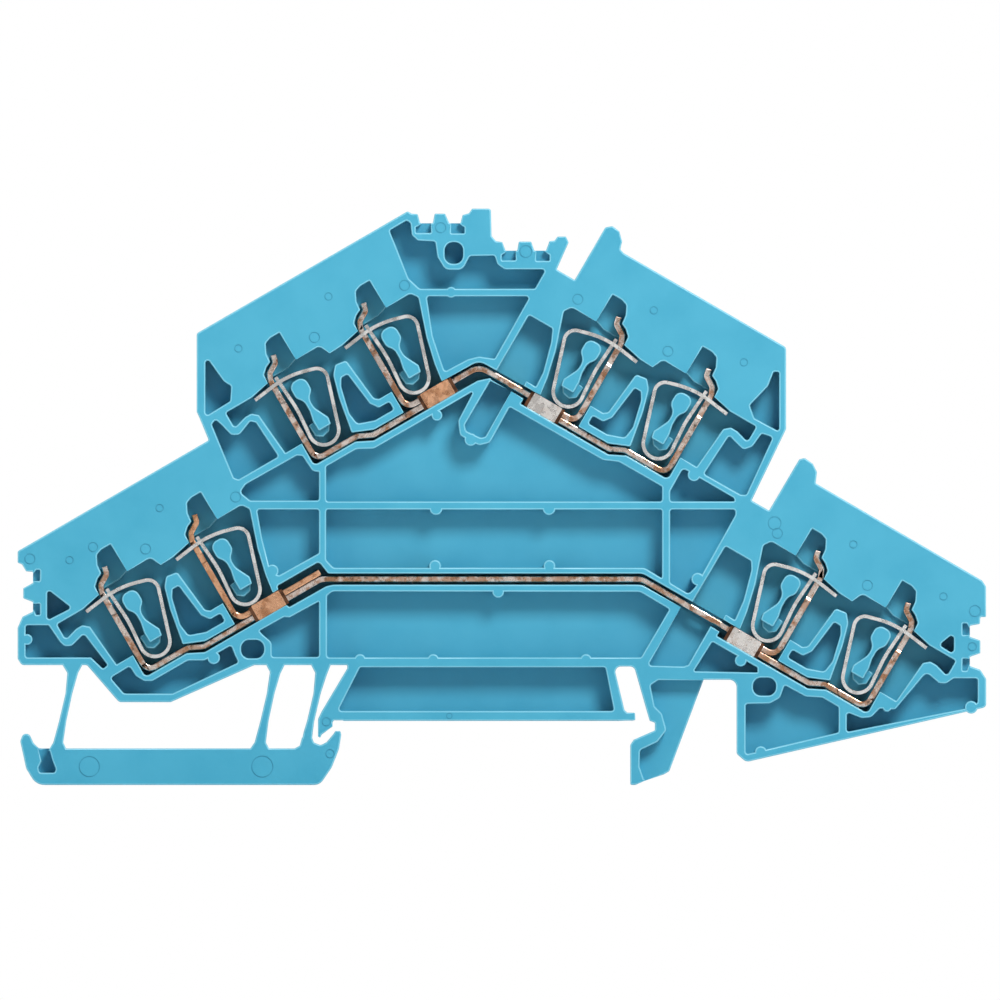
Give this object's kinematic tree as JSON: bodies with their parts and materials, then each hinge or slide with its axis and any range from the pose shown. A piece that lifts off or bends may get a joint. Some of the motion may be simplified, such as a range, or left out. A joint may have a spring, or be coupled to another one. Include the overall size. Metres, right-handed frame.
{
  "type": "din rail terminal block",
  "caption": "Slim double-level spring-clamp feed-through terminal block for 35 mm DIN rail, open on one side, with bent current bars, cage springs and a flexing release foot.",
  "frame": {"origin": "middle of the rail seat, half way through the block's thickness", "axes": "+X across the rail from the release foot towards the fixed foot, +Y along the rail from the open side to the closed back, +Z off the rail"},
  "size_m": [0.1058, 0.0067, 0.063],
  "materials": {
    "housing_plastic": "moulded polyamide, slight sheen",
    "spring_steel": "satin",
    "tinned_copper": "tinned, copper showing at the bends and edges",
    "copper_sleeve": "bare to lightly tinned"
  },
  "bodies": {
    "housing": {"housing": "housing_plastic", "foot_leg_left": "housing_plastic", "foot_leg_middle": "housing_plastic", "foot_leg_right": "housing_plastic", "upper_left_outer_bar": "tinned_copper", "upper_right_outer_bar": "tinned_copper", "lower_right_outer_bar": "tinned_copper", "upper_bar": "tinned_copper", "lower_bar": "tinned_copper", "lower_left_inner_bar": "tinned_copper", "upper_left_sleeve": "copper_sleeve", "upper_right_sleeve": "copper_sleeve", "lower_left_sleeve": "copper_sleeve", "lower_right_sleeve": "copper_sleeve", "upper_left_outer_spring_seat": "spring_steel", "upper_left_inner_spring_seat": "spring_steel", "upper_right_outer_spring_seat": "spring_steel", "upper_right_inner_spring_seat": "spring_steel", "lower_left_outer_spring_seat": "spring_steel", "lower_left_inner_spring_seat": "spring_steel", "lower_right_outer_spring_seat": "spring_steel", "lower_right_inner_spring_seat": "spring_steel"},
    "rail_foot": {"rail_foot": "housing_plastic"},
    "upper_left_outer_lever": {"upper_left_outer_spring_lever": "spring_steel"},
    "upper_left_outer_window": {"upper_left_outer_spring_window": "spring_steel"},
    "upper_left_inner_lever": {"upper_left_inner_spring_lever": "spring_steel"},
    "upper_left_inner_window": {"upper_left_inner_spring_window": "spring_steel"},
    "upper_right_outer_lever": {"upper_right_outer_spring_lever": "spring_steel"},
    "upper_right_outer_window": {"upper_right_outer_spring_window": "spring_steel"},
    "upper_right_inner_lever": {"upper_right_inner_spring_lever": "spring_steel"},
    "upper_right_inner_window": {"upper_right_inner_spring_window": "spring_steel"},
    "lower_left_outer_lever": {"lower_left_outer_spring_lever": "spring_steel"},
    "lower_left_outer_window": {"lower_left_outer_spring_window": "spring_steel"},
    "lower_left_inner_lever": {"lower_left_inner_spring_lever": "spring_steel"},
    "lower_left_inner_window": {"lower_left_inner_spring_window": "spring_steel"},
    "lower_right_outer_lever": {"lower_right_outer_spring_lever": "spring_steel"},
    "lower_right_outer_window": {"lower_right_outer_spring_window": "spring_steel"},
    "lower_right_inner_lever": {"lower_right_inner_spring_lever": "spring_steel"},
    "lower_right_inner_window": {"lower_right_inner_spring_window": "spring_steel"}
  },
  "joints": [
    {"name": "rail_foot_slide", "type": "slide", "parent": "housing", "child": "rail_foot", "axis": [-1, 0, 0], "range_m": [0, 0.00085], "stiffness_N_per_m": 4000, "deforming": ["foot_leg_left", "foot_leg_middle", "foot_leg_right"]},
    {"name": "upper_left_outer_lever_hinge", "type": "hinge", "parent": "housing", "child": "upper_left_outer_lever", "pos_m": [-0.01715, -0.00035, 0.03214], "axis": [0, -1, 0], "range_deg": [0, 18], "stiffness_Nm_per_rad": 0.05},
    {"name": "upper_left_outer_window_hinge", "type": "hinge", "parent": "upper_left_outer_lever", "child": "upper_left_outer_window", "pos_m": [-0.01797, -0.00035, 0.03764], "axis": [0, -1, 0], "range_deg": [-14.4, 0]},
    {"name": "upper_left_inner_lever_hinge", "type": "hinge", "parent": "housing", "child": "upper_left_inner_lever", "pos_m": [-0.0073, -0.00035, 0.03783], "axis": [0, -1, 0], "range_deg": [0, 18], "stiffness_Nm_per_rad": 0.05},
    {"name": "upper_left_inner_window_hinge", "type": "hinge", "parent": "upper_left_inner_lever", "child": "upper_left_inner_window", "pos_m": [-0.00813, -0.00035, 0.04332], "axis": [0, -1, 0], "range_deg": [-14.4, 0]},
    {"name": "upper_right_outer_lever_hinge", "type": "hinge", "parent": "housing", "child": "upper_right_outer_lever", "pos_m": [0.01658, -0.00035, 0.03062], "axis": [0, 1, 0], "range_deg": [0, 18], "stiffness_Nm_per_rad": 0.05},
    {"name": "upper_right_outer_window_hinge", "type": "hinge", "parent": "upper_right_outer_lever", "child": "upper_right_outer_window", "pos_m": [0.01741, -0.00035, 0.03612], "axis": [0, 1, 0], "range_deg": [-14.4, 0]},
    {"name": "upper_right_inner_lever_hinge", "type": "hinge", "parent": "housing", "child": "upper_right_inner_lever", "pos_m": [0.00673, -0.00035, 0.03631], "axis": [0, 1, 0], "range_deg": [0, 18], "stiffness_Nm_per_rad": 0.05},
    {"name": "upper_right_inner_window_hinge", "type": "hinge", "parent": "upper_right_inner_lever", "child": "upper_right_inner_window", "pos_m": [0.00756, -0.00035, 0.0418], "axis": [0, 1, 0], "range_deg": [-14.4, 0]},
    {"name": "lower_left_outer_lever_hinge", "type": "hinge", "parent": "housing", "child": "lower_left_outer_lever", "pos_m": [-0.03561, -0.00035, 0.00902], "axis": [0, -1, 0], "range_deg": [0, 18], "stiffness_Nm_per_rad": 0.05},
    {"name": "lower_left_outer_window_hinge", "type": "hinge", "parent": "lower_left_outer_lever", "child": "lower_left_outer_window", "pos_m": [-0.03643, -0.00035, 0.01451], "axis": [0, -1, 0], "range_deg": [-14.4, 0]},
    {"name": "lower_left_inner_lever_hinge", "type": "hinge", "parent": "housing", "child": "lower_left_inner_lever", "pos_m": [-0.02576, -0.00035, 0.0147], "axis": [0, -1, 0], "range_deg": [0, 18], "stiffness_Nm_per_rad": 0.05},
    {"name": "lower_left_inner_window_hinge", "type": "hinge", "parent": "lower_left_inner_lever", "child": "lower_left_inner_window", "pos_m": [-0.02658, -0.00035, 0.0202], "axis": [0, -1, 0], "range_deg": [-14.4, 0]},
    {"name": "lower_right_outer_lever_hinge", "type": "hinge", "parent": "housing", "child": "lower_right_outer_lever", "pos_m": [0.03839, -0.00035, 0.00504], "axis": [0, 1, 0], "range_deg": [0, 18], "stiffness_Nm_per_rad": 0.05},
    {"name": "lower_right_outer_window_hinge", "type": "hinge", "parent": "lower_right_outer_lever", "child": "lower_right_outer_window", "pos_m": [0.03922, -0.00035, 0.01053], "axis": [0, 1, 0], "range_deg": [-14.4, 0]},
    {"name": "lower_right_inner_lever_hinge", "type": "hinge", "parent": "housing", "child": "lower_right_inner_lever", "pos_m": [0.02854, -0.00035, 0.01073], "axis": [0, 1, 0], "range_deg": [0, 18], "stiffness_Nm_per_rad": 0.05},
    {"name": "lower_right_inner_window_hinge", "type": "hinge", "parent": "lower_right_inner_lever", "child": "lower_right_inner_window", "pos_m": [0.02937, -0.00035, 0.01622], "axis": [0, 1, 0], "range_deg": [-14.4, 0]}
  ],
  "couplings": [
    {"joint": "upper_left_outer_window_hinge", "follows": "upper_left_outer_lever_hinge", "ratio": -0.8},
    {"joint": "upper_left_inner_window_hinge", "follows": "upper_left_inner_lever_hinge", "ratio": -0.8},
    {"joint": "upper_right_outer_window_hinge", "follows": "upper_right_outer_lever_hinge", "ratio": -0.8},
    {"joint": "upper_right_inner_window_hinge", "follows": "upper_right_inner_lever_hinge", "ratio": -0.8},
    {"joint": "lower_left_outer_window_hinge", "follows": "lower_left_outer_lever_hinge", "ratio": -0.8},
    {"joint": "lower_left_inner_window_hinge", "follows": "lower_left_inner_lever_hinge", "ratio": -0.8},
    {"joint": "lower_right_outer_window_hinge", "follows": "lower_right_outer_lever_hinge", "ratio": -0.8},
    {"joint": "lower_right_inner_window_hinge", "follows": "lower_right_inner_lever_hinge", "ratio": -0.8}
  ]
}
